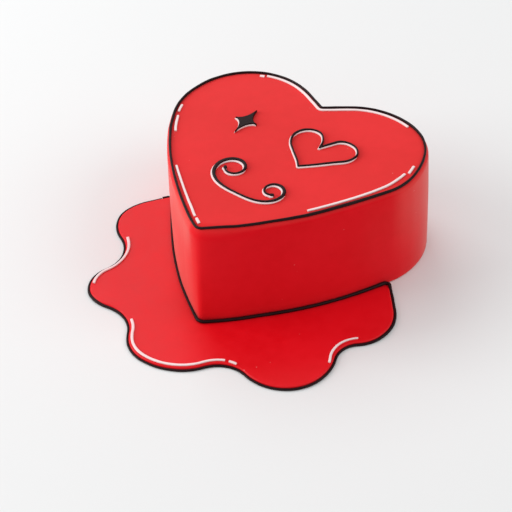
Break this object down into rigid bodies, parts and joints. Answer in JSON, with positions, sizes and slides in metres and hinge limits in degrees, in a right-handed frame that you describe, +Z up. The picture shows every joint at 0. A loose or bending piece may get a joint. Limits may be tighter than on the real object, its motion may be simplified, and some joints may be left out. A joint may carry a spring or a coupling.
{
  "type": "celebration cake",
  "caption": "Heart shaped cake in red sugar paste with black cord outlines, white strips of light, small ornaments on top and a flat red puddle of paste spreading from its point",
  "frame": {"origin": "on the surface that the cake stands on, half way along the heart from its point to the level of its dip", "axes": "+Z up, -Y from the middle of the heart towards its point, +X to the right of the heart seen with its point towards the viewer"},
  "size_m": [0.2726, 0.277, 0.0949],
  "materials": {
    "red_paste": "satin",
    "black_paste": "satin",
    "white_paste": "satin"
  },
  "bodies": {
    "root": {"cake_body": "red_paste", "top_cord": "black_paste", "top_strip_back_long": "white_paste", "top_strip_back_dash": "white_paste", "top_strip_left_dash": "white_paste", "top_strip_left_short": "white_paste", "top_strip_front_long": "white_paste", "top_strip_front_dash": "white_paste", "top_strip_right_long": "white_paste", "top_strip_right_dash": "white_paste", "puddle": "red_paste", "puddle_cord": "black_paste", "puddle_strip_left": "white_paste", "puddle_strip_front_long": "white_paste", "puddle_strip_front_dash": "white_paste", "puddle_strip_right": "white_paste", "heart_white": "white_paste", "heart_black": "black_paste", "sparkle_white": "white_paste", "sparkle_black": "black_paste", "scroll_white": "white_paste", "scroll_black": "black_paste"}
  },
  "joints": []
}
